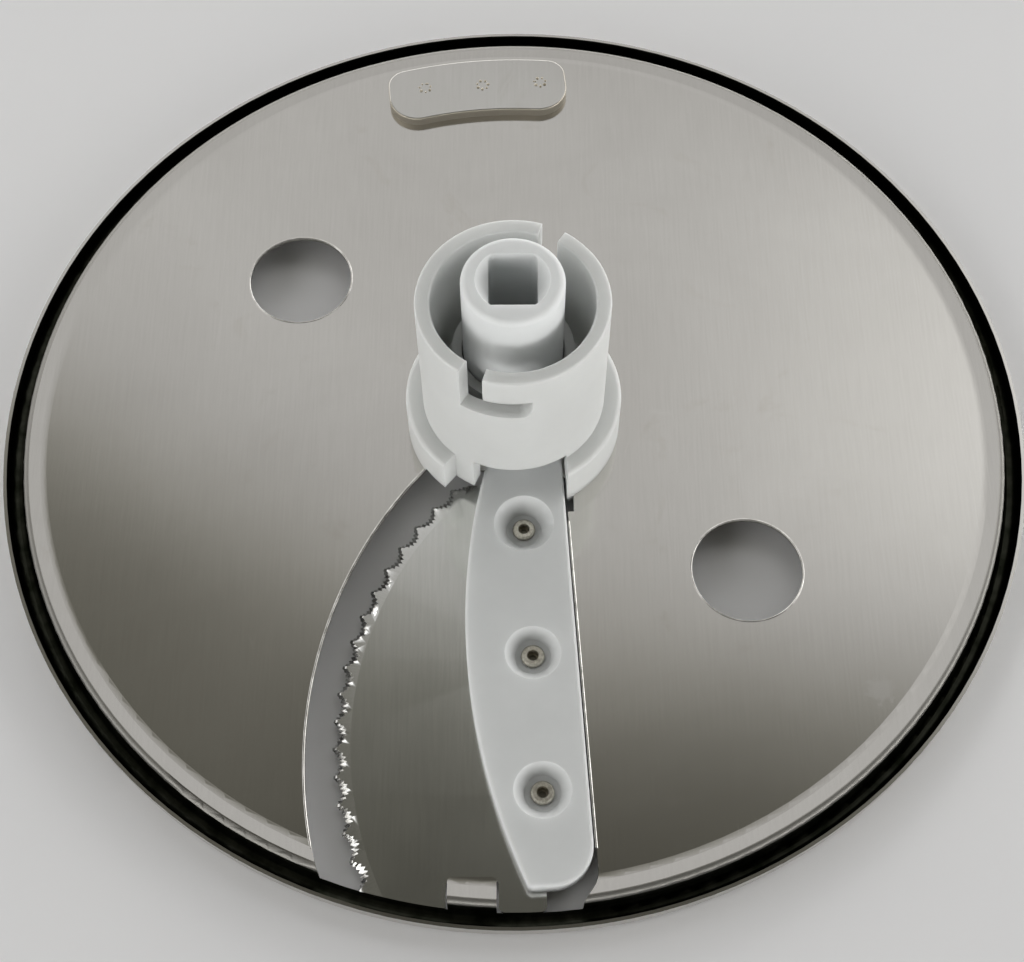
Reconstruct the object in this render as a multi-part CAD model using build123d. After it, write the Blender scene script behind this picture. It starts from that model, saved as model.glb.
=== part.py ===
from build123d import *
import os
from math import asin, cos, degrees, radians, sin, sqrt, tan

# Adjustable slicing disc of a food processor, lying hub side up on its rim.
# The origin is on the spin axis, in the plane that the rim rests on, and +Z points up along the hub.
# Lengths are millimetres, angles are degrees counted from +X towards +Y.
# A pressed steel plate carries a plastic hub collar and a balance weight. A plastic carrier slides
# along the axis inside the collar, and its arm holds the blade in the plate's opening.

# Pressed plate
DISC_D = 193.0              # over the rim
SHEET = 0.6                 # thickness of the steel
RIM_DEPTH = 5.0             # resting plane to the plate's hub-side face
GROOVE_W = 3.2              # clear width of the groove inside the rim
GROOVE_FLOOR_R = 1.4        # radius in the groove's floor
RIM_BEND_R = 1.0            # radius where the ridge turns down into the groove
LIP_DROP = 0.55             # outer lip below the plate's face
RIDGE_W = 3.8               # ridge that rises towards the groove
RIDGE_RISE = 0.53
RIDGE_FOOT_R = 8.0          # easing at the ridge's foot
HUB_HOLE_D = 19.2

# Finger holes
FINGER_HOLE_D = 20.0
FINGER_HOLE_AT_R = 53.0
FINGER_HOLE_ANGLE = 142.85

# Blade opening
OPENING_INNER_X = -15.95    # start of the bowed edge, under the hub's flange
OPENING_INNER_Y = -10.5
OPENING_HUB_Y = -12.5       # inner end of the straight edge
OPENING_END_ANGLE = 249.1   # where the bowed edge meets the rim
OPENING_BOW = 9.98          # rise of the bowed edge over its chord
OPENING_CORNER_W = 3.0      # slanted corner by the arm's end, across the arm
OPENING_CORNER_L = 3.6      # the same corner along the arm
OPENING_CORNER_R = 5.0      # its rounding into the straight edge
OPENING_SMALL_R = 1.0       # corners by the hub
RIM_CUT = 0.2               # the opening runs this far past the groove's inner wall
KEYWAY_W = 1.4              # notch in the straight edge for the collar's key
KEYWAY_INNER_Y = -14.6
KEYWAY_OUTER_Y = -20.0

# Tongue of plate that keys the blade's outer end
TONGUE_X = -7.4             # its middle
TONGUE_W = 8.2
TONGUE_LENGTH = 4.7         # inwards from the groove's inner wall
TONGUE_CORNER_R = 0.8
TONGUE_GAP = 0.35           # clearance to the blade's notch

# Blade
BLADE_T = 0.7
BLADE_LIFT = 1.5            # underside above the resting plane, at rest
BLADE_INNER_X = -11.2       # start of the cutting edge, beside the hub
BLADE_INNER_GAP = 0.5       # from the opening's inner end
BLADE_END_ANGLE = 253.6     # where the cutting edge meets the outer end
BLADE_BOW = 12.2            # rise of the cutting edge over its chord
BLADE_OVERRUN = 0.3         # outer end past the groove's inner wall
BLADE_TAB_W = 8.0           # tab beyond the notch
BLADE_TAB_R = 1.0
BLADE_BACK_INSET = 2.0      # hidden back edge inside the arm's straight edge
BEVEL_W = 3.2               # shallow ground bevel along the cutting edge
BEVEL_DROP = 0.22
EDGE_T = 0.05               # thickness left at the cutting edge
EDGE_SLOPE = 32.0           # of the steep edge grind and of the tooth gullets
SCALLOP_PITCH = 5.1
SCALLOP_DEPTH = 0.95
SCALLOP_LAND = 0.5          # plain edge left between two scallops
TEETH_PER_SCALLOP = 7
TOOTH_DEPTH = 0.6           # of the longest tooth, in the middle of a scallop

# Hub collar
COLLAR_D = 33.6
COLLAR_WALL = 2.6
COLLAR_HEIGHT = 40.1        # above the plate
COLLAR_EDGE_R = 0.4
FLANGE_D = 40.0
FLANGE_HEIGHT = 9.4
FLANGE_EDGE_R = 0.8
FLANGE_END_ANGLE = 230.4    # end of the flange on the blade's side
FOOT_RELIEF = 1.2           # foot cut back where it hangs over the blade opening
WINDOW_HEIGHT = 10.4        # opening in the wall that the arm passes through
WINDOW_ANGLE = 244.0        # its end on the blade's side
KEY_GAP = 0.15              # key in its keyway
KEY_DROP = 0.6              # key below the plate
WEB_T = 2.5
WEB_GAP = 0.5               # web above the window
GUIDE_WALL = 1.75           # ring that guides the drive tube
GUIDE_HEIGHT = 25.0         # its top above the plate
SLOT_ANGLE = 237.0          # entry side of the first bayonet slot
SLOT_ENTRY_SPAN = 15.0
SLOT_SPAN = 44.0            # entry and lock leg together
SLOT_FLOOR = 29.2           # above the plate
SLOT_LEG_H = 4.6
SLOT_END_R = 2.0            # rounding at the end of the lock leg's floor
SLOT_COUNT = 2

# Staked pegs that hold the collar on the plate
PEG_D = 3.0
PEG_HOLE_GAP = 0.1
PEG_HEAD_D = 5.2
PEG_HEAD_T = 0.8
PEG_AT_R = 17.2
PEG_ANGLES = (-40.0, 20.0, 80.0, 140.0, 200.0)

# Blade carrier
SLIDE_TRAVEL = 2.5          # from the thickest slice, at rest, to the thinnest
STOP_GAP = 0.1              # left at the seat on the plate
TOP_STOP_GAP = 0.3          # left under the collar's web
RUNNING_GAP = 0.3           # drive tube in its guide ring
SIDE_GAP = 0.45             # arm to the opening's straight edge, base in the collar
TUBE_D = 17.7
TUBE_HEIGHT = 46.3          # above the plate, at rest
TUBE_EDGE_R = 1.2
BASE_D = 21.8               # foot of the tube, which seats on the plate
SOCKET_D = 12.7             # round lead-in
SOCKET_LEAD = 3.0           # its depth
SOCKET_W = 8.4
SOCKET_L = 10.2             # across the flats of the lead-in too
SOCKET_CORNER_R = 1.0
SOCKET_DRAFT = 0.8
SOCKET_DEPTH = 32.0

# Arm of the carrier
ARM_SKEW = 3.22             # straight edge to the radial line
ARM_EDGE_X = 8.36           # straight edge, carried on to the axis
ARM_ROOT_X = -3.63          # start of the bowed edge, inside the foot of the tube
ARM_ROOT_Y = -5.4
ARM_BOW = 7.83              # rise of the bowed edge over its chord
ARM_END_SETBACK = 2.95      # end inside the groove's inner wall
ARM_END_ANGLE = 271.3       # tip where the bowed edge ends
ARM_END_R = 7.0             # corner beside the straight edge
ARM_TIP_R = 1.2
ARM_T = 3.6                 # over the blade, along most of its length
ARM_ROOT_T = 5.0            # over the blade, at the foot of the tube
ARM_RAMP_START_Y = -36.0    # where the arm starts to thicken towards the hub
ARM_RAMP_R = 200.0          # easing of that start
ARM_EDGE_R = 0.6

# Rivets
RIVET_COUNT = 3
RIVET_PITCH = 25.0
RIVET_FIRST_Y = -23.2
RIVET_INSET = 7.9           # from the arm's straight edge
RIVET_D = 2.5
RIVET_HOLE_GAP = 0.05
RIVET_HEAD_D = 5.6
RIVET_HEAD_T = 0.6
RIVET_ROLL_D = 4.2          # rolled end over the arm
RIVET_ROLL_T = 0.8
RIVET_BORE_D = 1.7
RIVET_BORE_DEPTH = 1.6
DISH_FLOOR_T = 1.4          # plastic left under a rivet's dish
DISH_FLOOR_D = 6.4
DISH_TOP_D = 10.0

# Balance weight
WEIGHT_T = 2.0
WEIGHT_INNER_R = 73.5
WEIGHT_RIM_GAP = 1.8        # from the ridge
WEIGHT_ANGLE = 95.2         # its middle
WEIGHT_W = 37.4             # between its straight ends
WEIGHT_CORNER_R = 6.0
WEIGHT_OUTER_CORNER_R = 4.0
WEIGHT_EDGE_R = 0.3

# Radii and levels that follow from the sizes above
DISC_R = DISC_D / 2
GROOVE_OUTER_R = DISC_R - SHEET
GROOVE_INNER_R = GROOVE_OUTER_R - GROOVE_W
RIDGE_R = GROOVE_INNER_R - RIDGE_W
OPENING_R = GROOVE_INNER_R + RIM_CUT
BLADE_END_R = GROOVE_INNER_R + BLADE_OVERRUN
ARM_END_AT_R = GROOVE_INNER_R - ARM_END_SETBACK
PLATE_TOP = RIM_DEPTH
PLATE_UNDER = RIM_DEPTH - SHEET
BLADE_TOP = BLADE_LIFT + BLADE_T
COLLAR_R = COLLAR_D / 2
COLLAR_BORE_R = COLLAR_R - COLLAR_WALL
WEB_UNDER = PLATE_TOP + WINDOW_HEIGHT + WEB_GAP
TUBE_R = TUBE_D / 2
GUIDE_BORE_R = TUBE_R + RUNNING_GAP
BASE_R = BASE_D / 2
BASE_UNDER = PLATE_TOP + STOP_GAP
BASE_TOP = WEB_UNDER - TOP_STOP_GAP - SLIDE_TRAVEL
HUB_END_Y = OPENING_HUB_Y - BLADE_INNER_GAP


def polar(radius, angle):
    """Point on a level circle about the axis."""
    return Vector(radius * cos(radians(angle)), radius * sin(radians(angle)))


def arm_edge_x(y, offset=0.0):
    """X of the arm's straight edge at a given Y, moved outwards by offset."""
    return ARM_EDGE_X - y * tan(radians(ARM_SKEW)) + offset


def on_arm_edge(radius, offset):
    """Point where a line beside the arm's straight edge meets a circle about the axis."""
    skew = radians(ARM_SKEW)
    from_axis = (ARM_EDGE_X + offset) * cos(skew)
    along = sqrt(radius ** 2 - from_axis ** 2)
    return Vector(from_axis * cos(skew) + along * sin(skew), from_axis * sin(skew) - along * cos(skew))


def bow_middle(start, end, rise):
    """Middle of an arc that rises to the right of the way from start to end."""
    along = (end - start).normalized()
    return (start + end) / 2 + Vector(along.Y, -along.X) * rise


def bow_centre(start, end, rise):
    """Centre and radius of that arc."""
    half = (end - start).length / 2
    radius = (half ** 2 + rise ** 2) / (2 * rise)
    inward = ((start + end) / 2 - bow_middle(start, end, rise)).normalized()
    return bow_middle(start, end, rise) + inward * radius, radius


def rim_arc(radius, start, end):
    """Arc about the axis between two points on the rim by the blade."""
    return ThreePointArc(start, ((start + end) / 2).normalized() * radius, end)


def near(shapes, point):
    """The corner of a sketch that lies nearest to a point."""
    return min(shapes.vertices(), key=lambda v: (Vector(v.X, v.Y) - point).length)


def upright(sketch, low, high):
    """Solid that stands on a level outline between two heights."""
    return Pos(0, 0, low) * extrude(sketch, amount=high - low)


def turned(points, radii=None):
    """Solid turned about the axis from a half section of radius and height points."""
    with BuildPart() as body:
        with BuildSketch(Plane.XZ):
            with BuildLine():
                FilletPolyline(*points, radius=radii or [0] * len(points), close=True)
            make_face()
        revolve(axis=Axis.Z)
    return body.part


def opening_outline():
    """Outline of the plate's blade opening, before its tongue and keyway."""
    inner = Vector(OPENING_INNER_X, OPENING_INNER_Y)
    end = polar(OPENING_R, OPENING_END_ANGLE)
    far = on_arm_edge(OPENING_R, SIDE_GAP - OPENING_CORNER_W)
    corner = on_arm_edge(OPENING_R - OPENING_CORNER_L, SIDE_GAP)
    near_hub = Vector(arm_edge_x(OPENING_HUB_Y, SIDE_GAP), OPENING_HUB_Y)
    with BuildSketch() as outline:
        with BuildLine():
            ThreePointArc(inner, bow_middle(inner, end, OPENING_BOW), end)
            rim_arc(OPENING_R, end, far)
            Polyline(far, corner, near_hub, inner)
        make_face()
        fillet(near(outline, corner), OPENING_CORNER_R)
        fillet([near(outline, p) for p in (inner, near_hub)], OPENING_SMALL_R)
    return outline.sketch


def tongue_outline(grow=0.0):
    """Tongue that reaches in from the rim, or with grow the notch that clears it."""
    inner_y = -sqrt(GROOVE_INNER_R ** 2 - TONGUE_X ** 2) + TONGUE_LENGTH + grow
    length = DISC_R + inner_y
    with BuildSketch() as outline:
        with Locations((TONGUE_X, inner_y - length / 2)):
            Rectangle(TONGUE_W + 2 * grow, length)
        inner_corners = outline.vertices().group_by(Axis.Y)[-1]
        fillet(inner_corners, TONGUE_CORNER_R + grow)
    return outline.sketch


def keyway_outline(gap=0.0):
    """Notch beside the opening's straight edge, or with a gap the key that goes into it."""
    inner_x = arm_edge_x(KEYWAY_OUTER_Y, SIDE_GAP) + gap
    outer_x = arm_edge_x(KEYWAY_INNER_Y, SIDE_GAP) + KEYWAY_W - gap
    low_y = KEYWAY_OUTER_Y + gap
    high_y = KEYWAY_INNER_Y - gap
    centre = Pos((inner_x + outer_x) / 2, (low_y + high_y) / 2)
    return centre * Rectangle(outer_x - inner_x, high_y - low_y)


def slicing_plate():
    """Pressed sheet with a grooved rim, finger holes, peg holes and the blade opening."""
    lip = PLATE_TOP - LIP_DROP
    wall = GROOVE_INNER_R - SHEET
    slope = RIDGE_RISE / RIDGE_W
    section = [
        (HUB_HOLE_D / 2, PLATE_TOP),
        (RIDGE_R, PLATE_TOP),
        (GROOVE_INNER_R, PLATE_TOP + RIDGE_RISE),
        (GROOVE_INNER_R, SHEET),
        (GROOVE_OUTER_R, SHEET),
        (GROOVE_OUTER_R, lip),
        (DISC_R, lip),
        (DISC_R, 0),
        (wall, 0),
        (wall, PLATE_UNDER + slope * (wall - RIDGE_R)),
        (RIDGE_R, PLATE_UNDER),
        (HUB_HOLE_D / 2, PLATE_UNDER),
    ]
    bead_r = GROOVE_FLOOR_R + SHEET
    upper = [0, RIDGE_FOOT_R, RIM_BEND_R, GROOVE_FLOOR_R, GROOVE_FLOOR_R, 0]
    lower = [0, bead_r, bead_r, RIM_BEND_R - SHEET, 0, 0]
    slit = Pos(-SIDE_GAP, 0) * keyway_outline()
    holes = opening_outline() + keyway_outline() + slit - tongue_outline()
    for side in (0, 180):
        centre = polar(FINGER_HOLE_AT_R, FINGER_HOLE_ANGLE + side)
        holes += Pos(centre.X, centre.Y) * Circle(FINGER_HOLE_D / 2)
    for angle in PEG_ANGLES:
        centre = polar(PEG_AT_R, angle)
        holes += Pos(centre.X, centre.Y) * Circle(PEG_D / 2 + PEG_HOLE_GAP)
    return turned(section, upper + lower) - upright(holes, -RIM_DEPTH, 2 * RIM_DEPTH)


def balance_weight():
    """Kidney of thicker sheet, spot welded beside the rim opposite the arm."""
    ring = Circle(RIDGE_R - WEIGHT_RIM_GAP) - Circle(WEIGHT_INNER_R)
    outline = ring & Pos(DISC_R / 2, 0) * Rectangle(DISC_R, WEIGHT_W)
    inner_corners = outline.vertices().sort_by(Axis.X)[:2]
    outline = fillet(inner_corners, WEIGHT_CORNER_R)
    outer_corners = outline.vertices().sort_by(Axis.X)[-2:]
    outline = Rot(0, 0, WEIGHT_ANGLE) * fillet(outer_corners, WEIGHT_OUTER_CORNER_R)
    body = upright(outline, PLATE_TOP, PLATE_TOP + WEIGHT_T)
    return fillet(body.edges().group_by(Axis.Z)[-1], WEIGHT_EDGE_R)


def bayonet_slot(angle):
    """Cut for one L-shaped slot: an entry from the top and a lock leg along the wall."""
    ring = Circle(COLLAR_R + COLLAR_WALL) - Circle(COLLAR_BORE_R - COLLAR_WALL / 2)

    def sector(start, span):
        rays = [polar(2 * COLLAR_D, start + span * part) for part in (0, 0.5, 1)]
        return ring & make_face(Polyline((0, 0), *rays, close=True))

    floor = PLATE_TOP + SLOT_FLOOR
    entry = upright(sector(angle, SLOT_ENTRY_SPAN), floor, PLATE_TOP + 2 * COLLAR_HEIGHT)
    lock = upright(sector(angle, SLOT_SPAN), floor, floor + SLOT_LEG_H)
    leg_end = polar(COLLAR_R, angle + SLOT_SPAN) + Vector(0, 0, floor)
    lock = fillet(lock.edges().group_by(Axis.Z)[0].sort_by_distance(leg_end)[0], SLOT_END_R)
    return entry + lock


def window_cut():
    """Cut in the collar's foot that lets the arm out and clears the blade's inner end."""
    slit_top = Vector(arm_edge_x(0, SIDE_GAP), 0)
    slit_end = Vector(arm_edge_x(-FLANGE_D, SIDE_GAP), -FLANGE_D)

    def from_slit_to(angle):
        return make_face(Polyline((0, 0), slit_top, slit_end, polar(2 * FLANGE_D, angle), close=True))

    outline = from_slit_to(FLANGE_END_ANGLE) - Circle(COLLAR_R) + from_slit_to(WINDOW_ANGLE)
    outline += Pos(-SIDE_GAP, 0) * arm_outline()
    window = upright(outline, 0, PLATE_TOP + WINDOW_HEIGHT)
    return window + upright(opening_outline(), 0, PLATE_TOP + FOOT_RELIEF)


def hub_collar():
    """Moulded collar with its flange, guide ring, bayonet slots, window and staked pegs."""
    flange_top = PLATE_TOP + FLANGE_HEIGHT
    collar_top = PLATE_TOP + COLLAR_HEIGHT
    guide_top = PLATE_TOP + GUIDE_HEIGHT
    web_top = WEB_UNDER + WEB_T
    guide_r = GUIDE_BORE_R + GUIDE_WALL
    section = [
        (COLLAR_BORE_R, PLATE_TOP),
        (FLANGE_D / 2, PLATE_TOP),
        (FLANGE_D / 2, flange_top),
        (COLLAR_R, flange_top),
        (COLLAR_R, collar_top),
        (COLLAR_BORE_R, collar_top),
        (COLLAR_BORE_R, web_top),
        (guide_r, web_top),
        (guide_r, guide_top),
        (GUIDE_BORE_R, guide_top),
        (GUIDE_BORE_R, WEB_UNDER),
        (COLLAR_BORE_R, WEB_UNDER),
    ]
    radii = [0, 0, FLANGE_EDGE_R, 0, COLLAR_EDGE_R, COLLAR_EDGE_R, 0, 0, 0, 0, 0, 0]
    body = turned(section, radii) - window_cut()
    for number in range(SLOT_COUNT):
        body -= bayonet_slot(SLOT_ANGLE + 360 / SLOT_COUNT * number)
    for angle in PEG_ANGLES:
        at = polar(PEG_AT_R, angle)
        peg = Pos(at.X, at.Y) * upright(Circle(PEG_D / 2), PLATE_UNDER - PEG_HEAD_T / 2, PLATE_TOP + PEG_D)
        head = Pos(at.X, at.Y) * upright(Circle(PEG_HEAD_D / 2), PLATE_UNDER - PEG_HEAD_T, PLATE_UNDER)
        head = chamfer(head.edges().group_by(Axis.Z)[0], PEG_HEAD_T / 2)
        body += [peg, head]
    key = keyway_outline(KEY_GAP) & Circle(FLANGE_D / 2)
    return body + upright(key, PLATE_UNDER - KEY_DROP, PLATE_TOP + FLANGE_HEIGHT / 2)


def rivet_spots():
    """Centres of the rivets, along a line beside the arm's straight edge."""
    step = RIVET_PITCH * cos(radians(ARM_SKEW))
    rows = [RIVET_FIRST_Y - step * number for number in range(RIVET_COUNT)]
    return [Vector(arm_edge_x(y, -RIVET_INSET), y) for y in rows]


def arm_outline():
    """Outline of the carrier's arm, from inside the foot of the tube to the rim."""
    root = Vector(ARM_ROOT_X, ARM_ROOT_Y)
    tip = polar(ARM_END_AT_R, ARM_END_ANGLE)
    corner = on_arm_edge(ARM_END_AT_R, 0)
    with BuildSketch() as outline:
        with BuildLine():
            ThreePointArc(root, bow_middle(root, tip, ARM_BOW), tip)
            rim_arc(ARM_END_AT_R, tip, corner)
            Polyline(corner, (arm_edge_x(ARM_ROOT_Y), ARM_ROOT_Y), root)
        make_face()
        fillet(near(outline, corner), ARM_END_R)
        fillet(near(outline, tip), ARM_TIP_R)
    return outline.sketch


def arm():
    """Arm of the carrier, lying on the blade and thickening towards the hub."""
    thin = BLADE_TOP + ARM_T
    thick = BLADE_TOP + ARM_ROOT_T
    side_points = [
        (ARM_ROOT_Y, BASE_UNDER),
        (HUB_END_Y, BASE_UNDER),
        (HUB_END_Y, BLADE_TOP),
        (-DISC_R, BLADE_TOP),
        (-DISC_R, thin),
        (ARM_RAMP_START_Y, thin),
        (ARM_ROOT_Y, thick),
    ]
    with BuildSketch(Plane.YZ) as side:
        with BuildLine():
            FilletPolyline(*side_points, radius=[0, 0, 0, 0, 0, ARM_RAMP_R, 0], close=True)
        make_face()
    level = upright(arm_outline(), 0, RIM_DEPTH + COLLAR_HEIGHT)
    body = level & extrude(side.sketch, amount=DISC_R, both=True)
    tops = [face for face in body.faces() if face.normal_at().Z > 0.9]
    outside = [edge for edge in body.edges() if edge.center().Y < -COLLAR_R]
    rim = [edge for edge in outside if sum(edge in face.edges() for face in tops) == 1]
    body = fillet(rim, ARM_EDGE_R)
    floor = BLADE_TOP + DISH_FLOOR_T
    slope = (DISH_TOP_D - DISH_FLOOR_D) / 2 / (ARM_T - DISH_FLOOR_T)
    tall = ARM_ROOT_T
    floor_r = DISH_FLOOR_D / 2
    dish = Pos(0, 0, floor + tall / 2) * Cone(floor_r, floor_r + slope * tall, tall)
    shank_hole = upright(Circle(RIVET_D / 2 + RIVET_HOLE_GAP), 0, floor + tall)
    for spot in rivet_spots():
        body -= Pos(spot.X, spot.Y) * (dish + shank_hole)
    return body


def blade_carrier():
    """Drive tube, base and arm in one moulding."""
    tube_top = PLATE_TOP + TUBE_HEIGHT
    base = upright(Circle(BASE_R), BASE_UNDER, BASE_TOP)
    spigot = upright(Circle(HUB_HOLE_D / 2 - SIDE_GAP), PLATE_UNDER, BASE_TOP)
    tube = upright(Circle(TUBE_R), BASE_TOP - SHEET, tube_top)
    tube = fillet(tube.edges().group_by(Axis.Z)[-1], TUBE_EDGE_R)
    shape = RectangleRounded(SOCKET_W, SOCKET_L, SOCKET_CORNER_R)
    socket = extrude(shape, amount=-SOCKET_DEPTH, taper=SOCKET_DRAFT)
    flats = extrude(Rectangle(2 * SOCKET_D, SOCKET_L), amount=-SOCKET_LEAD, taper=SOCKET_DRAFT)
    lead_in = flats & Pos(0, 0, -SOCKET_LEAD / 2) * Cone(SOCKET_W / 2, SOCKET_D / 2, SOCKET_LEAD)
    return base + spigot + tube + arm() - Pos(0, 0, tube_top) * (socket + lead_in)


def blade_outline():
    """Outline of the blade before its edge is serrated, with the notch for the tongue."""
    inner = Vector(BLADE_INNER_X, HUB_END_Y)
    end = polar(BLADE_END_R, BLADE_END_ANGLE)
    tab_x = TONGUE_X + TONGUE_W / 2 + TONGUE_GAP + BLADE_TAB_W
    tab = Vector(tab_x, -sqrt(BLADE_END_R ** 2 - tab_x ** 2))
    shoulder = Vector(tab_x, tab.Y + ARM_END_R + BLADE_TAB_R)
    back = Vector(arm_edge_x(HUB_END_Y, -BLADE_BACK_INSET), HUB_END_Y)
    back_end_y = shoulder.Y + ARM_END_R
    back_end = Vector(arm_edge_x(back_end_y, -BLADE_BACK_INSET), back_end_y)
    with BuildSketch() as outline:
        with BuildLine():
            ThreePointArc(inner, bow_middle(inner, end, BLADE_BOW), end)
            rim_arc(BLADE_END_R, end, tab)
            Polyline(tab, shoulder, back_end, back, inner)
        make_face()
        add(tongue_outline(TONGUE_GAP), mode=Mode.SUBTRACT)
        tab_level = outline.vertices().filter_by(lambda v: v.Y < -GROOVE_INNER_R + TONGUE_LENGTH / 2)
        fillet(tab_level.sort_by(Axis.X)[1:], BLADE_TAB_R)
    return outline.sketch


def scallop_cut():
    """Cut for one scallop in an edge along Y, with teeth along +X and gullets that rise inwards."""
    half = (SCALLOP_PITCH - SCALLOP_LAND) / 2
    hollow_r = (half ** 2 + SCALLOP_DEPTH ** 2) / (2 * SCALLOP_DEPTH)
    centre = Vector(hollow_r - SCALLOP_DEPTH, 0)
    reach = degrees(asin(half / hollow_r))
    points = [(SCALLOP_PITCH, half)]
    for step in range(2 * TEETH_PER_SCALLOP + 1):
        turn = reach * (step / TEETH_PER_SCALLOP - 1)
        root = TOOTH_DEPTH * cos(radians(90 * turn / reach)) if step % 2 else 0
        points.append(centre + polar(hollow_r + root, 180 + turn))
    points.append((SCALLOP_PITCH, -half))
    outline = make_face(Polyline(*points, close=True))
    rise = Vector(-1 / tan(radians(EDGE_SLOPE)), 0, 1)
    return Pos(rise * -BLADE_T) * extrude(outline, amount=3 * BLADE_T, dir=rise)


def slicing_blade():
    """Blade with a ground bevel and a pointed-scallop edge."""
    inner = Vector(BLADE_INNER_X, HUB_END_Y)
    end = polar(BLADE_END_R, BLADE_END_ANGLE)
    centre, edge_r = bow_centre(inner, end, BLADE_BOW)
    step = degrees(2 * asin(SCALLOP_PITCH / 2 / edge_r))
    first = Vector(1, 0).get_signed_angle(end - centre)
    span = 2 * degrees(asin((end - inner).length / 2 / edge_r))
    steep_w = (BLADE_T - BEVEL_DROP - EDGE_T) / tan(radians(EDGE_SLOPE))
    ground = [
        (edge_r - BEVEL_W, BLADE_TOP),
        (edge_r - steep_w, BLADE_TOP - BEVEL_DROP),
        (edge_r, BLADE_LIFT + EDGE_T),
        (edge_r + BEVEL_W, BLADE_LIFT + EDGE_T),
        (edge_r + BEVEL_W, BLADE_TOP + BLADE_T),
        (edge_r - BEVEL_W, BLADE_TOP + BLADE_T),
    ]
    body = upright(blade_outline(), BLADE_LIFT, BLADE_TOP) - Pos(centre.X, centre.Y) * turned(ground)
    scallop = Pos(edge_r, 0, BLADE_LIFT) * scallop_cut()
    for number in range(int(span / step) + 1):
        angle = first - step * (number + 0.5)
        body -= Pos(centre.X, centre.Y) * Rot(0, 0, angle) * scallop
    for spot in rivet_spots():
        body -= Pos(spot.X, spot.Y) * upright(Circle(RIVET_D / 2 + RIVET_HOLE_GAP), 0, RIM_DEPTH)
    return body


def blade_rivets():
    """Semi-tubular rivets: a flat head under the blade and a rolled end in each dish of the arm."""
    floor = BLADE_TOP + DISH_FLOOR_T
    top = floor + RIVET_ROLL_T
    head = BLADE_LIFT - RIVET_HEAD_T
    head_r = RIVET_HEAD_D / 2
    roll_r = RIVET_ROLL_D / 2
    bore_r = RIVET_BORE_D / 2
    slope = RIVET_ROLL_T / 2
    section = [
        (0, head),
        (head_r - RIVET_HEAD_T / 2, head),
        (head_r, BLADE_LIFT - RIVET_HEAD_T / 2),
        (head_r, BLADE_LIFT),
        (RIVET_D / 2, BLADE_LIFT),
        (RIVET_D / 2, floor),
        (roll_r, floor),
        (roll_r, top - slope),
        (roll_r - slope, top),
        (bore_r + slope / 2, top),
        (bore_r, top - slope),
        (bore_r, top - RIVET_BORE_DEPTH),
        (0, top - RIVET_BORE_DEPTH),
    ]
    rivet = turned(section)
    return [Pos(spot.X, spot.Y) * rivet for spot in rivet_spots()]


NODES = {
    "slicing_plate": slicing_plate,
    "balance_weight": balance_weight,
    "hub_collar": hub_collar,
    "blade_carrier": blade_carrier,
    "slicing_blade": slicing_blade,
    "blade_rivets": blade_rivets,
}

os.makedirs("parts", exist_ok=True)
for name, make in NODES.items():
    made = make()
    solids = made if isinstance(made, list) else made.solids()
    export_step(Compound(children=solids) if len(solids) > 1 else solids[0], f"parts/{name}.step")
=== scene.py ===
import math

import bpy
from mathutils import Matrix, Vector


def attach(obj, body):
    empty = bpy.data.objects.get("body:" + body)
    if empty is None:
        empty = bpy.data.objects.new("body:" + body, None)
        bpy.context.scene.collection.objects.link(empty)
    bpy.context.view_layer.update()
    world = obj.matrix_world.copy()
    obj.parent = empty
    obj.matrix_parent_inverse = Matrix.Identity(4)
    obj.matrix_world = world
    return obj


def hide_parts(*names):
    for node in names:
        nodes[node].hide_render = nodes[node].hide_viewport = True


# Looks of an adjustable slicing disc that lies hub side up on a pale table.
# Lengths are metres in the part's own frame, with the origin on the spin axis in the resting plane.

MM = 0.001

# Sizes of the disc that the finishes and the added pieces follow
PLATE_TOP = 5.0 * MM
GROOVE_INNER_R = 92.7 * MM
GROOVE_OUTER_R = 95.9 * MM
FINGER_HOLES = ((-42.24 * MM, 32.0 * MM), (42.24 * MM, -32.0 * MM))
FINGER_HOLE_R = 10.0 * MM
EDGE_CENTRE = (36.43 * MM, -61.99 * MM)
EDGE_R = 68.42 * MM
BEVEL_W = 3.2 * MM
BLADE_UNDER = 1.5 * MM
BLADE_T = 0.7 * MM
RIVETS = ((1.77 * MM, -23.2 * MM), (3.17 * MM, -48.16 * MM), (4.57 * MM, -73.12 * MM))
WEIGHT_TOP = 7.0 * MM
STAIN = (63.9 * MM, -55.4 * MM)

# Blanked edges that carry a rolled burr, and the spot welds of the weight
BOW_CENTRE = (45.317 * MM, -64.387 * MM)
BOW_R = 81.593 * MM
BOW_ANGLES = (math.radians(139.0), math.radians(195.2))
SLIT_ENDS = ((10.05 * MM, -22.0 * MM), (13.48 * MM, -83.0 * MM))
BURR_R = 0.24 * MM
HOLE_BURR_R = 0.18 * MM
BURR_SINK = 0.11 * MM
WELD_ENDS = ((-18.3 * MM, 79.3 * MM), (6.0 * MM, 80.7 * MM))
WELD_RING_R = 1.15 * MM
WELD_BEAD_R = 0.34 * MM

# Toothed scallops of the cutting edge, counted from the hub end out to the rim
SCALLOP_PITCH = 5.1 * MM
SCALLOP_DEPTH = 0.95 * MM
SCALLOP_LAND = 0.5 * MM
SCALLOP_TRIM = 0.02 * MM
SCALLOPS = 17
SCALLOPS_FROM = math.radians(130.775)
TEETH_PER_SCALLOP = 7
TOOTH_DEPTH = 0.6 * MM
GULLET_SLOPE = math.radians(32.0)

# Light of the low walls round the table, and the place of the camera
WALL_LIGHT = 2.25
CAMERA_PLACE = (0, -157.90 * MM, 280.72 * MM)
CAMERA_PITCH = math.radians(62.37)
CAMERA_YAW = math.radians(-0.15)
CAMERA_ROLL = math.radians(-0.47)
CAMERA_LENS = 58.62

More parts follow.
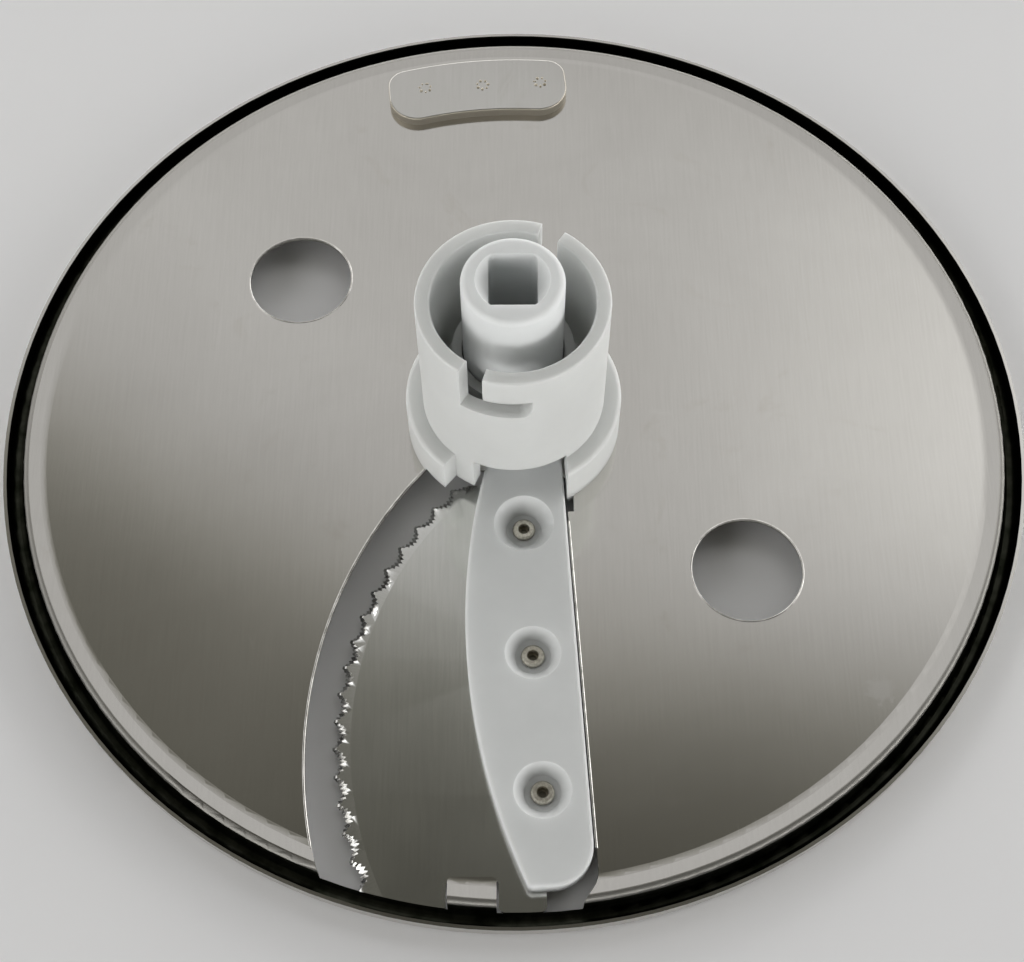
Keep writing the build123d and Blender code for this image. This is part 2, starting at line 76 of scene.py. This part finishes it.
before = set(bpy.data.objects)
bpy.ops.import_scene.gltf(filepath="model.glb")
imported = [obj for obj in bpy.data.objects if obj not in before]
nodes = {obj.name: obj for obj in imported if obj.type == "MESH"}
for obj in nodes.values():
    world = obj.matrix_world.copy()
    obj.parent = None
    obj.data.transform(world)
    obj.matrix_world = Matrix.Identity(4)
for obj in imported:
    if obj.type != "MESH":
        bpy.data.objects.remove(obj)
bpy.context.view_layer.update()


def put(tree, kind, sockets=None, **settings):
    """Adds a node, sets its properties, and fills its sockets with values or links."""
    node = tree.nodes.new(kind)
    for name, value in settings.items():
        setattr(node, name, value)
    for key, value in (sockets or {}).items():
        if isinstance(value, bpy.types.NodeSocket):
            tree.links.new(value, node.inputs[key])
        else:
            node.inputs[key].default_value = value
    return node


def maths(tree, operation, first, second=0.0, third=0.0, clamp=False):
    """Result of one sum on numbers or sockets."""
    sockets = {0: first, 1: second, 2: third}
    return put(tree, "ShaderNodeMath", sockets, operation=operation, use_clamp=clamp).outputs[0]


def ramp(tree, value, stops):
    """Colour, or shade where the stops are numbers, read off a ramp."""
    node = put(tree, "ShaderNodeValToRGB", {"Fac": value})
    elements = node.color_ramp.elements
    while len(elements) < len(stops):
        elements.new(0.5)
    for element, (place, shade) in zip(elements, stops):
        element.position = place
        element.color = (*shade, 1) if isinstance(shade, tuple) else (shade, shade, shade, 1)
    return node.outputs["Color"]


def step_up(tree, value, low, high):
    """0 below low, 1 above high, and smooth between them."""
    sockets = {"Value": value, "From Min": low, "From Max": high}
    return put(tree, "ShaderNodeMapRange", sockets, interpolation_type="SMOOTHSTEP").outputs["Result"]


def step_down(tree, value, low, high):
    """1 below low, 0 above high, and smooth between them."""
    return maths(tree, "SUBTRACT", 1.0, step_up(tree, value, low, high))


def blend(tree, factor, first, second, mode="MIX"):
    """Two colours mixed by a factor."""
    node = put(tree, "ShaderNodeMix", data_type="RGBA", blend_type=mode)
    places = {0: factor, 6: first, 7: second}
    for place, value in places.items():
        if isinstance(value, bpy.types.NodeSocket):
            tree.links.new(value, node.inputs[place])
        else:
            node.inputs[place].default_value = (*value, 1) if isinstance(value, tuple) else value
    return node.outputs[2]


def finish(name, metallic, **constants):
    """New material whose shader is ready for links."""
    material = bpy.data.materials.new(name)
    material.use_nodes = True
    tree = material.node_tree
    shader = tree.nodes["Principled BSDF"]
    shader.inputs["Metallic"].default_value = metallic
    for key, value in constants.items():
        shader.inputs[key.replace("_", " ")].default_value = value
    place = put(tree, "ShaderNodeTexCoord").outputs["Object"]
    return material, tree, shader, place


def turned(tree, place, scale, turn=0.0):
    """Coordinates stretched by a scale for each axis, after a turn about the axis."""
    sockets = {"Vector": place, "Rotation": (0, 0, turn), "Scale": scale}
    return put(tree, "ShaderNodeMapping", sockets).outputs["Vector"]


def grain(tree, place, scale, detail=4.0, roughness=0.55, distortion=0.0):
    """Noise in the range from 0 to 1."""
    sockets = {
        "Vector": place, "Scale": scale, "Detail": detail, "Roughness": roughness, "Distortion": distortion,
    }
    return put(tree, "ShaderNodeTexNoise", sockets).outputs[0]


def hairlines(tree, place, scale, turn, width, share):
    """Thin scratches along one direction, kept only where a coarse noise is high."""
    lines = put(tree, "ShaderNodeTexVoronoi", {
        "Vector": turned(tree, place, (1, 0.12, 1), turn), "Scale": scale, "Randomness": 1.0,
    }, feature="DISTANCE_TO_EDGE").outputs["Distance"]
    thin = maths(tree, "SUBTRACT", 1.0, step_up(tree, lines, 0.0, width))
    where = step_up(tree, grain(tree, place, scale * 0.6, 2.0), share, share + 0.08)
    return maths(tree, "MULTIPLY", thin, where)


def raise_by(tree, shader, height, strength, distance):
    """Bump from a height map."""
    sockets = {"Strength": strength, "Distance": distance, "Height": height}
    tree.links.new(put(tree, "ShaderNodeBump", sockets).outputs["Normal"], shader.inputs["Normal"])


def radius_of(tree, place, centre=(0, 0)):
    """Level distance from an upright axis."""
    flat = put(tree, "ShaderNodeVectorMath", {0: place, 1: (1, 1, 0)}, operation="MULTIPLY").outputs[0]
    sockets = {0: flat, 1: (*centre, 0)}
    return put(tree, "ShaderNodeVectorMath", sockets, operation="DISTANCE").outputs["Value"]


def near_spot(tree, place, spot, size, scale):
    """Mask of one ragged stain round a spot."""
    ragged = maths(tree, "MULTIPLY", grain(tree, place, scale, 5.0, 0.65), size * 1.6)
    from_spot = maths(tree, "ADD", radius_of(tree, place, spot), ragged)
    return maths(tree, "SUBTRACT", 1.0, step_up(tree, from_spot, size * 1.15, size * 1.5))


def brushed_steel(name, pale, dull, rough, groove=False):
    """Stainless sheet with a fine brushed grain, faint water marks and hairline scratches, plus painted shade:
    in the rim groove and on the rim bend when groove is set, else on the weight's side walls.
    """
    material, tree, shader, place = finish(name, 1.0)
    fine = grain(tree, turned(tree, place, (1, 0.03, 1)), 2600, 3.0)
    cloud = grain(tree, place, 17, 6.0, 0.62, 0.4)
    marks = step_up(tree, grain(tree, place, 58, 5.0, 0.6, 1.2), 0.60, 0.74)
    scratch = maths(tree, "ADD", hairlines(tree, place, 95, 0.5, 0.008, 0.64),
                    hairlines(tree, place, 130, -0.9, 0.008, 0.66), clamp=True)
    tone = maths(tree, "ADD", maths(tree, "MULTIPLY", fine, 0.25), maths(tree, "MULTIPLY", cloud, 0.75))
    colour = ramp(tree, tone, ((0.30, dull), (0.70, pale)))
    colour = blend(tree, maths(tree, "MULTIPLY", marks, 0.10), colour, (0.44, 0.39, 0.30))
    roughness = maths(tree, "ADD", rough, maths(tree, "MULTIPLY", cloud, 0.05))
    roughness = maths(tree, "ADD", roughness, maths(tree, "MULTIPLY", marks, 0.03))
    stain = maths(tree, "MULTIPLY", near_spot(tree, place, STAIN, 4.0 * MM, 620), 0.5)
    pale_marks = maths(tree, "MAXIMUM", maths(tree, "MULTIPLY", scratch, 0.4), stain)
    pale_marks = maths(tree, "MULTIPLY", pale_marks, 0.30)
    colour = blend(tree, pale_marks, colour, (0.84, 0.83, 0.80))
    roughness = maths(tree, "ADD", roughness, maths(tree, "MULTIPLY", pale_marks, 0.6))
    if groove:
        level = put(tree, "ShaderNodeSeparateXYZ", {0: place}).outputs["Z"]
        radius = radius_of(tree, place)
        past_inner = step_up(tree, radius, GROOVE_INNER_R - 0.4 * MM, GROOVE_INNER_R - 0.2 * MM)
        within_outer = step_down(tree, radius, GROOVE_OUTER_R + 0.05 * MM, GROOVE_OUTER_R + 0.2 * MM)
        inside = maths(tree, "MULTIPLY", past_inner, within_outer)
        # Painted shade: the deep part of the rim groove gets a near-black colour that stands in for its shade
        # and dark reflections.
        painted_groove_shade = maths(tree, "MULTIPLY", inside, step_down(tree, level, 3.9 * MM, 4.4 * MM))
        painted_shade = ramp(tree, grain(tree, turned(tree, place, (1, 1, 0.4), 0.7), 240, 3.0), (
            (0.35, (0.012, 0.014, 0.009)), (0.75, (0.055, 0.056, 0.044))))
        # Painted shade: the rim bend between the crest and the groove is darkened to dim its highlight, and
        # made rougher.
        past_crest = step_up(tree, radius, GROOVE_INNER_R - 1.3 * MM, GROOVE_INNER_R - 0.7 * MM)
        before_groove = step_down(tree, radius, GROOVE_INNER_R + 0.4 * MM, GROOVE_INNER_R + 0.6 * MM)
        bend = maths(tree, "MULTIPLY", past_crest, before_groove)
        colour = blend(tree, maths(tree, "MULTIPLY", bend, 0.7), colour, (0.16, 0.155, 0.14))
        roughness = maths(tree, "ADD", roughness, maths(tree, "MULTIPLY", bend, 0.4))
        colour = blend(tree, painted_groove_shade, colour, painted_shade)
        roughness = maths(tree, "ADD", roughness, maths(tree, "MULTIPLY", painted_groove_shade, 0.2))
    else:
        level = put(tree, "ShaderNodeSeparateXYZ", {0: place}).outputs["Z"]
        # Painted shade: the weight's side walls and edge rounds below its top are darkened to dim their
        # highlights, and made rougher.
        wall = step_down(tree, level, WEIGHT_TOP - 0.06 * MM, WEIGHT_TOP - 0.01 * MM)
        colour = blend(tree, maths(tree, "MULTIPLY", wall, 0.85), colour, (0.46, 0.42, 0.345))
        roughness = maths(tree, "ADD", roughness, maths(tree, "MULTIPLY", wall, 0.38))
    tree.links.new(colour, shader.inputs["Base Color"])
    tree.links.new(roughness, shader.inputs["Roughness"])
    height = maths(tree, "ADD", maths(tree, "MULTIPLY", fine, 0.6), maths(tree, "MULTIPLY", scratch, -0.3))
    raise_by(tree, shader, height, 0.05, 0.02 * MM)
    return material


def ground_steel(name):
    """Blade steel with lengthwise grain and cross-ground lines on the bevel."""
    material, tree, shader, place = finish(name, 1.0)
    along = grain(tree, turned(tree, place, (1, 0.04, 1), 0.35), 2200, 3.0)
    cloud = grain(tree, place, 26, 5.0, 0.6)
    radius = radius_of(tree, place, EDGE_CENTRE)
    bevel = step_up(tree, radius, EDGE_R - BEVEL_W - 0.1 * MM, EDGE_R - BEVEL_W + 0.1 * MM)
    middle = put(tree, "ShaderNodeVectorMath", {0: place, 1: (*EDGE_CENTRE, 0)}, operation="SUBTRACT")
    parts = put(tree, "ShaderNodeSeparateXYZ", {0: middle.outputs[0]})
    angle = maths(tree, "ARCTAN2", parts.outputs["Y"], parts.outputs["X"])
    sockets = {"W": angle, "Scale": 520.0, "Detail": 2.0}
    lines = put(tree, "ShaderNodeTexNoise", sockets, noise_dimensions="1D").outputs[0]
    tone = maths(tree, "ADD", maths(tree, "MULTIPLY", along, 0.4), maths(tree, "MULTIPLY", cloud, 0.6))
    flat = ramp(tree, tone, ((0.30, (0.64, 0.645, 0.62)), (0.70, (0.74, 0.74, 0.715))))
    honed = ramp(tree, lines, ((0.30, (0.70, 0.70, 0.68)), (0.70, (0.82, 0.82, 0.80))))
    tree.links.new(blend(tree, bevel, flat, honed), shader.inputs["Base Color"])
    rough = maths(tree, "ADD", maths(tree, "MULTIPLY", cloud, 0.08), 0.12)
    rough = maths(tree, "ADD", rough, maths(tree, "MULTIPLY", bevel, 0.05))
    tree.links.new(rough, shader.inputs["Roughness"])
    cross_lines = maths(tree, "MULTIPLY", maths(tree, "MULTIPLY", lines, bevel), 0.8)
    height = maths(tree, "ADD", maths(tree, "MULTIPLY", along, 0.5), cross_lines)
    raise_by(tree, shader, height, 0.08, 0.02 * MM)
    return material


def moulded_plastic(name, pale, shaded, rough):
    """Matte white moulding that scatters light, with a faint mottle, fine texture and slight scuffs."""
    scatter = {"Subsurface_Weight": 0.6, "Subsurface_Scale": 4.0 * MM}
    material, tree, shader, place = finish(name, 0.0, IOR=1.49, **scatter)
    shader.inputs["Subsurface Radius"].default_value = (1.0, 1.0, 1.0)
    mottle = grain(tree, place, 60, 5.0, 0.6)
    flow = grain(tree, turned(tree, place, (1, 1, 0.12)), 160, 3.0)
    tone = maths(tree, "ADD", maths(tree, "MULTIPLY", mottle, 0.7), maths(tree, "MULTIPLY", flow, 0.3))
    colour = ramp(tree, tone, ((0.32, shaded), (0.68, pale)))
    scuff = hairlines(tree, place, 260, 0.3, 0.012, 0.66)
    colour = blend(tree, maths(tree, "MULTIPLY", scuff, 0.10), colour, (0.55, 0.55, 0.53))
    tree.links.new(colour, shader.inputs["Base Color"])
    roughness = maths(tree, "ADD", rough, maths(tree, "MULTIPLY", mottle, 0.12))
    tree.links.new(roughness, shader.inputs["Roughness"])
    raise_by(tree, shader, grain(tree, place, 2400, 2.0), 0.07, 0.03 * MM)
    return material


def rivet_steel(name):
    """Dull plated rivets, with painted shade in the hollow and round the foot of the rolled end."""
    material, tree, shader, place = finish(name, 1.0)
    from_axis = None
    for spot in RIVETS:
        here = radius_of(tree, place, spot)
        from_axis = here if from_axis is None else maths(tree, "MINIMUM", from_axis, here)
    hollow = maths(tree, "SUBTRACT", 1.0, step_up(tree, from_axis, 0.5 * MM, 0.9 * MM))
    foot = step_up(tree, from_axis, 1.85 * MM, 2.1 * MM)
    speck = grain(tree, place, 1900, 3.0)
    colour = ramp(tree, speck, ((0.32, (0.50, 0.47, 0.40)), (0.70, (0.82, 0.79, 0.70))))
    # Painted shade: near-black in the hollow and round the foot of the rolled end, where shade falls.
    painted_shade = maths(tree, "MULTIPLY", maths(tree, "MAXIMUM", hollow, maths(tree, "MULTIPLY", foot, 0.6)), 0.85)
    tree.links.new(blend(tree, painted_shade, colour, (0.05, 0.045, 0.03)), shader.inputs["Base Color"])
    roughness = maths(tree, "ADD", 0.22, maths(tree, "MULTIPLY", speck, 0.2))
    tree.links.new(roughness, shader.inputs["Roughness"])
    raise_by(tree, shader, speck, 0.12, 0.03 * MM)
    return material


def rolled_steel(name):
    """Burr of a blanked edge, rubbed bright, with fine breaks along it."""
    material, tree, shader, place = finish(name, 1.0)
    breaks = grain(tree, place, 420, 4.0)
    colour = ramp(tree, breaks, ((0.32, (0.34, 0.33, 0.31)), (0.66, (0.66, 0.65, 0.62))))
    tree.links.new(colour, shader.inputs["Base Color"])
    tree.links.new(maths(tree, "MULTIPLY_ADD", breaks, 0.2, 0.12), shader.inputs["Roughness"])
    raise_by(tree, shader, breaks, 0.1, 0.03 * MM)
    return material


def weld_steel(name):
    """Heat-browned steel of a spot weld."""
    material, tree, shader, place = finish(name, 1.0)
    tarnish = grain(tree, place, 1500, 3.0)
    colour = ramp(tree, tarnish, ((0.35, (0.30, 0.265, 0.20)), (0.65, (0.52, 0.48, 0.40))))
    tree.links.new(colour, shader.inputs["Base Color"])
    tree.links.new(maths(tree, "MULTIPLY_ADD", tarnish, 0.2, 0.3), shader.inputs["Roughness"])
    return material


def growth_tree(name, sizes):
    """Geometry Nodes tree with a named input for each size, and its input node."""
    tree = bpy.data.node_groups.new(name, "GeometryNodeTree")
    tree.interface.new_socket(name="Geometry", in_out="OUTPUT", socket_type="NodeSocketGeometry")
    for key, value in sizes.items():
        kind = {int: "NodeSocketInt", float: "NodeSocketFloat"}.get(type(value), "NodeSocketObject")
        tree.interface.new_socket(name=key, in_out="INPUT", socket_type=kind)
    return tree, tree.nodes.new("NodeGroupInput").outputs


def close_tree(tree, shape, material):
    """Ends a tree in realised, smooth geometry with its material."""
    real = put(tree, "GeometryNodeRealizeInstances", {0: shape}).outputs[0]
    smooth = put(tree, "GeometryNodeSetShadeSmooth", {0: real}).outputs[0]
    dressed = put(tree, "GeometryNodeSetMaterial", {"Geometry": smooth, "Material": material}).outputs[0]
    put(tree, "NodeGroupOutput", {0: dressed})


def grow(name, tree, sizes, body):
    """Plain mesh piece made by a tree, riding on a body."""
    seed = bpy.data.objects.new(name + "_seed", bpy.data.meshes.new(name + "_seed"))
    bpy.context.scene.collection.objects.link(seed)
    modifier = seed.modifiers.new("growth", "NODES")
    modifier.node_group = tree
    for socket in tree.interface.items_tree:
        if socket.in_out == "INPUT":
            modifier[socket.identifier] = sizes[socket.name]
    graph = bpy.context.evaluated_depsgraph_get()
    mesh = bpy.data.meshes.new_from_object(seed.evaluated_get(graph))
    bpy.data.objects.remove(seed)
    mesh.set_sharp_from_angle(angle=math.radians(25))
    piece = bpy.data.objects.new(name, mesh)
    bpy.context.scene.collection.objects.link(piece)
    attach(piece, body)
    return piece


def circle(tree, points, radius):
    """Level circle curve about the origin."""
    sockets = {"Resolution": points, "Radius": radius}
    return put(tree, "GeometryNodeCurvePrimitiveCircle", sockets).outputs[0]


def moved(tree, shape, by):
    """Geometry moved by a vector."""
    return put(tree, "GeometryNodeTransform", {"Geometry": shape, "Translation": by}).outputs[0]


def spread(tree, points, instance, **fields):
    """One instance on each point, with fields for its rotation or scale."""
    sockets = {"Points": points, "Instance": instance, **fields}
    return put(tree, "GeometryNodeInstanceOnPoints", sockets).outputs[0]


def rolled_edges():
    """Rolled burr along the bowed edge of the opening, the slit beside the arm and both finger holes."""
    sizes = {
        "Burr Radius": BURR_R, "Hole Burr Radius": HOLE_BURR_R, "Sink": BURR_SINK,
        "Bow Radius": BOW_R + BURR_R, "Hole Radius": FINGER_HOLE_R + HOLE_BURR_R, "Facets": 10,
    }
    tree, size = growth_tree("rolled edge", sizes)
    level = maths(tree, "SUBTRACT", PLATE_TOP, size["Sink"])
    lift = put(tree, "ShaderNodeCombineXYZ", {"Z": level}).outputs[0]
    bow = put(tree, "GeometryNodeCurveArc", {
        "Resolution": 140, "Radius": size["Bow Radius"],
        "Start Angle": BOW_ANGLES[0], "Sweep Angle": BOW_ANGLES[1] - BOW_ANGLES[0],
    }, mode="RADIUS").outputs[0]
    bow_place = put(tree, "ShaderNodeVectorMath", {0: lift, 1: (*BOW_CENTRE, 0)}, operation="ADD")
    bow = moved(tree, bow, bow_place.outputs[0])
    ends = {"Start": (*SLIT_ENDS[0], 0), "End": (*SLIT_ENDS[1], 0)}
    slit = moved(tree, put(tree, "GeometryNodeCurvePrimitiveLine", ends).outputs[0], lift)
    lines = put(tree, "GeometryNodeJoinGeometry").inputs[0]
    tree.links.new(bow, lines)
    tree.links.new(slit, lines)
    section = circle(tree, size["Facets"], size["Burr Radius"])
    burr = put(tree, "GeometryNodeCurveToMesh", {
        "Curve": lines.node.outputs[0], "Profile Curve": section, "Fill Caps": True,
    }).outputs[0]
    ring = circle(tree, 96, size["Hole Radius"])
    thin = circle(tree, size["Facets"], size["Hole Burr Radius"])
    ring = put(tree, "GeometryNodeCurveToMesh", {"Curve": ring, "Profile Curve": thin}).outputs[0]
    pair = put(tree, "GeometryNodeMeshLine", {
        "Count": 2, "Start Location": (*FINGER_HOLES[0], 0), "Offset": (*FINGER_HOLES[1], 0),
    }, mode="END_POINTS").outputs[0]
    rings = spread(tree, moved(tree, pair, lift), ring)
    whole = put(tree, "GeometryNodeJoinGeometry").inputs[0]
    tree.links.new(burr, whole)
    tree.links.new(rings, whole)
    close_tree(tree, whole.node.outputs[0], rolled_steel("rolled edge steel"))
    grow("rolled_edges", tree, sizes, "plate")


def scallop_cutter():
    """Prism that cuts one scallop with its teeth, along gullets that rise inwards."""
    half = (SCALLOP_PITCH - SCALLOP_LAND) / 2
    hollow_r = (half ** 2 + SCALLOP_DEPTH ** 2) / (2 * SCALLOP_DEPTH)
    reach = math.asin(half / hollow_r)
    outline = [(SCALLOP_PITCH, half)]
    for step in range(2 * TEETH_PER_SCALLOP + 1):
        turn = reach * (step / TEETH_PER_SCALLOP - 1)
        root = TOOTH_DEPTH * math.cos(math.pi / 2 * turn / reach) if step % 2 else 0
        far = hollow_r + root
        outline.append((hollow_r - SCALLOP_DEPTH - far * math.cos(turn), -far * math.sin(turn)))
    outline.append((SCALLOP_PITCH, -half))
    count = len(outline)
    points = []
    for rise in (-BLADE_T, 2 * BLADE_T):
        points += [(x - rise / math.tan(GULLET_SLOPE), y, rise) for x, y in outline]
    sides = [(n, (n + 1) % count, (n + 1) % count + count, n + count) for n in range(count)]
    ends = [tuple(reversed(range(count))), tuple(range(count, 2 * count))]
    mesh = bpy.data.meshes.new("scallop")
    mesh.from_pydata(points, [], sides + ends)
    return bpy.data.objects.new("scallop", mesh)


def serrated_blade():
    """The blade with toothed scallops cut through its bevel along the whole edge."""
    cutter = scallop_cutter()
    bpy.context.scene.collection.objects.link(cutter)
    sizes = {
        "Blade": nodes["slicing_blade"], "Cutter": cutter, "Scallops": SCALLOPS,
        "Edge Radius": EDGE_R - SCALLOP_TRIM, "Step": 2 * math.asin(SCALLOP_PITCH / 2 / EDGE_R),
    }
    tree, size = growth_tree("serrated blade", sizes)
    number = maths(tree, "ADD", put(tree, "GeometryNodeInputIndex").outputs[0], 0.5)
    angle = maths(tree, "MULTIPLY_ADD", number, size["Step"], SCALLOPS_FROM)
    across = maths(tree, "MULTIPLY_ADD", maths(tree, "COSINE", angle), size["Edge Radius"], EDGE_CENTRE[0])
    along = maths(tree, "MULTIPLY_ADD", maths(tree, "SINE", angle), size["Edge Radius"], EDGE_CENTRE[1])
    spot = put(tree, "ShaderNodeCombineXYZ", {"X": across, "Y": along, "Z": BLADE_UNDER}).outputs[0]
    turn = put(tree, "ShaderNodeCombineXYZ", {"Z": angle}).outputs[0]
    places = put(tree, "GeometryNodePoints", {"Count": size["Scallops"], "Position": spot}).outputs[0]
    blade = put(tree, "GeometryNodeObjectInfo", {"Object": size["Blade"]}).outputs["Geometry"]
    blade = put(tree, "GeometryNodeMergeByDistance", {"Geometry": blade, "Distance": 0.001 * MM}).outputs[0]
    tool = put(tree, "GeometryNodeObjectInfo", {"Object": size["Cutter"]}).outputs["Geometry"]
    tools = put(tree, "GeometryNodeRealizeInstances", {0: spread(tree, places, tool, Rotation=turn)}).outputs[0]
    sockets = {"Mesh 1": blade, "Mesh 2": tools}
    cut = put(tree, "GeometryNodeMeshBoolean", sockets, operation="DIFFERENCE", solver="EXACT").outputs[0]
    close_tree(tree, cut, blade_finish)
    piece = grow("serrated_blade", tree, sizes, "carrier")
    bpy.data.objects.remove(cutter)
    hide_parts("slicing_blade")


def weld_marks():
    """Three rings of small browned beads where the weight is spot welded."""
    sizes = {"Ring Radius": WELD_RING_R, "Beads": 7, "Bead Radius": WELD_BEAD_R, "Flatness": 0.16, "Seed": 5}
    tree, size = growth_tree("weld marks", sizes)
    spots = put(tree, "GeometryNodeMeshLine", {
        "Count": 3, "Start Location": (*WELD_ENDS[0], WEIGHT_TOP), "Offset": (*WELD_ENDS[1], WEIGHT_TOP),
    }, mode="END_POINTS").outputs[0]
    ring = circle(tree, size["Beads"], size["Ring Radius"])
    sockets = {"Max": (0, 0, 6.28), "Seed": size["Seed"]}
    spin = put(tree, "FunctionNodeRandomValue", sockets, data_type="FLOAT_VECTOR").outputs[0]
    rings = put(tree, "GeometryNodeRealizeInstances", {0: spread(tree, spots, ring, Rotation=spin)}).outputs[0]
    places = put(tree, "GeometryNodeCurveToPoints", {"Curve": rings}, mode="EVALUATED").outputs[0]
    sockets = {"Radius": size["Bead Radius"], "Subdivisions": 3}
    bead = put(tree, "GeometryNodeMeshIcoSphere", sockets).outputs[0]
    sockets = {"Min": (0.5, 0.5, 1), "Max": (1.2, 1.2, 1), "Seed": size["Seed"]}
    grade = put(tree, "FunctionNodeRandomValue", sockets, data_type="FLOAT_VECTOR").outputs[0]
    flat = put(tree, "ShaderNodeCombineXYZ", {"X": 1.0, "Y": 1.0, "Z": size["Flatness"]}).outputs[0]
    grade = put(tree, "ShaderNodeVectorMath", {0: grade, 1: flat}, operation="MULTIPLY").outputs[0]
    beads = spread(tree, places, bead, Scale=grade)
    close_tree(tree, beads, weld_steel("weld browned steel"))
    grow("weld_marks", tree, sizes, "plate")


def dress(node, material):
    """Gives a node of the part its finish."""
    mesh = nodes[node].data
    mesh.materials.clear()
    mesh.materials.append(material)


plate_finish = brushed_steel(
    "plate brushed steel", (0.66, 0.645, 0.615), (0.57, 0.555, 0.525), 0.10, groove=True)
weight_finish = brushed_steel("weight brushed steel", (0.66, 0.65, 0.625), (0.57, 0.56, 0.53), 0.12)
blade_finish = ground_steel("blade ground steel")
collar_finish = moulded_plastic("collar white moulding", (0.67, 0.68, 0.67), (0.62, 0.63, 0.62), 0.42)
carrier_finish = moulded_plastic("carrier white moulding", (0.75, 0.765, 0.765), (0.70, 0.715, 0.715), 0.40)
rivet_finish = rivet_steel("rivet plated steel")

dress("slicing_plate", plate_finish)
dress("balance_weight", weight_finish)
dress("slicing_blade", blade_finish)
dress("hub_collar", collar_finish)
dress("blade_carrier", carrier_finish)
dress("blade_rivets", rivet_finish)


def table_top():
    """Pale table that the disc lies on."""
    mesh = bpy.data.meshes.new("table")
    half = 4.0
    corners = [(-half, -half, 0), (half, -half, 0), (half, half, 0), (-half, half, 0)]
    mesh.from_pydata(corners, [], [(0, 1, 2, 3)])
    table = bpy.data.objects.new("table", mesh)
    bpy.context.scene.collection.objects.link(table)
    material, tree, shader, place = finish("table white", 0.0, Roughness=0.6)
    tone = grain(tree, place, 9, 3.0)
    colour = ramp(tree, tone, ((0.3, (0.90, 0.90, 0.915)), (0.7, (0.93, 0.93, 0.94))))
    tree.links.new(colour, shader.inputs["Base Color"])
    mesh.materials.append(material)


def studio():
    """Soft light from low all round, strongest from the near side, under a dim ceiling with a pale far side."""
    world = bpy.data.worlds.new("studio")
    bpy.context.scene.world = world
    world.use_nodes = True
    tree = world.node_tree
    way = put(tree, "ShaderNodeTexCoord").outputs["Generated"]
    parts = put(tree, "ShaderNodeSeparateXYZ", {0: way})
    up = maths(tree, "MAXIMUM", parts.outputs["Z"], 0.05)
    aside = maths(tree, "DIVIDE", parts.outputs["X"], up)
    ahead = maths(tree, "DIVIDE", parts.outputs["Y"], up)
    left = maths(tree, "MINIMUM", maths(tree, "MAXIMUM", maths(tree, "MULTIPLY", aside, -1.0), 0.0), 0.45)
    drift = maths(tree, "MULTIPLY_ADD", grain(tree, way, 5.0, 3.0), 0.08, -0.04)
    lean = maths(tree, "ADD", maths(tree, "MULTIPLY_ADD", left, -0.55, ahead), drift)
    levels = (
        (0.0, 0.04), (0.18, 0.06), (0.25, 0.10), (0.31, 0.12), (0.345, 0.17), (0.375, 0.29), (0.40, 0.42),
        (0.43, 0.52), (0.47, 0.60), (0.52, 0.65), (0.58, 0.67), (0.92, 0.66), (1.05, 0.30), (1.3, 0.10),
    )
    halved = [(place / 2, level) for place, level in levels]
    ceiling = ramp(tree, maths(tree, "MULTIPLY", lean, 0.5), halved)
    window = maths(tree, "MULTIPLY", step_up(tree, aside, 0.05, 0.33), step_down(tree, ahead, 0.60, 0.95))
    ceiling = maths(tree, "MULTIPLY", ceiling, maths(tree, "MULTIPLY_ADD", window, 0.45, 1.0))
    haze = maths(tree, "MULTIPLY", step_up(tree, left, 0.03, 0.2), step_down(tree, lean, 0.33, 0.45))
    ceiling = maths(tree, "MULTIPLY_ADD", haze, 0.07, ceiling)
    wall = maths(tree, "MULTIPLY_ADD", parts.outputs["Y"], 1.6, -0.9)
    wall = maths(tree, "MULTIPLY_ADD", parts.outputs["Y"], wall, WALL_LIGHT)
    wall = maths(tree, "MULTIPLY_ADD", parts.outputs["X"], 1.1, wall)
    height = maths(tree, "MULTIPLY_ADD", parts.outputs["Y"], 0.17, -0.13)
    height = maths(tree, "MULTIPLY_ADD", parts.outputs["Y"], height, parts.outputs["Z"])
    slant = maths(tree, "MULTIPLY_ADD", parts.outputs["X"], -0.095, 0.165)
    height = maths(tree, "MULTIPLY_ADD", parts.outputs["X"], slant, height)
    low = step_down(tree, height, 0.43, 0.54)
    glow = maths(tree, "ADD", maths(tree, "MULTIPLY", wall, low),
                 maths(tree, "MULTIPLY", ceiling, maths(tree, "SUBTRACT", 1.0, low)))
    tint = ramp(tree, glow, ((0.12, (1.0, 0.97, 0.82)), (0.60, (1.0, 0.995, 0.985))))
    seen = put(tree, "ShaderNodeLightPath").outputs["Is Camera Ray"]
    light = tree.nodes["Background"]
    tree.links.new(tint, light.inputs["Color"])
    strength = maths(tree, "ADD", maths(tree, "MULTIPLY", glow, maths(tree, "SUBTRACT", 1.0, seen)),
                     maths(tree, "MULTIPLY", seen, 0.9))
    tree.links.new(strength, light.inputs["Strength"])


def camera():
    """Camera above the near side, as the photograph was taken."""
    level = math.cos(CAMERA_PITCH)
    forward = Vector((math.sin(CAMERA_YAW) * level, math.cos(CAMERA_YAW) * level, -math.sin(CAMERA_PITCH)))
    right = Vector((math.cos(CAMERA_YAW), -math.sin(CAMERA_YAW), 0))
    up = right.cross(forward)
    side = math.cos(CAMERA_ROLL) * right + math.sin(CAMERA_ROLL) * up
    top = -math.sin(CAMERA_ROLL) * right + math.cos(CAMERA_ROLL) * up
    data = bpy.data.cameras.new("camera")
    data.sensor_width = 36.0
    data.lens = CAMERA_LENS
    data.clip_start = 0.01
    data.clip_end = 50.0
    eye = bpy.data.objects.new("camera", data)
    turn = Matrix((side, top, -forward)).transposed().to_4x4()
    eye.matrix_world = Matrix.Translation(CAMERA_PLACE) @ turn
    bpy.context.scene.collection.objects.link(eye)
    bpy.context.scene.camera = eye


serrated_blade()
rolled_edges()
weld_marks()
table_top()
studio()
camera()
bpy.context.scene.view_settings.view_transform = "Standard"
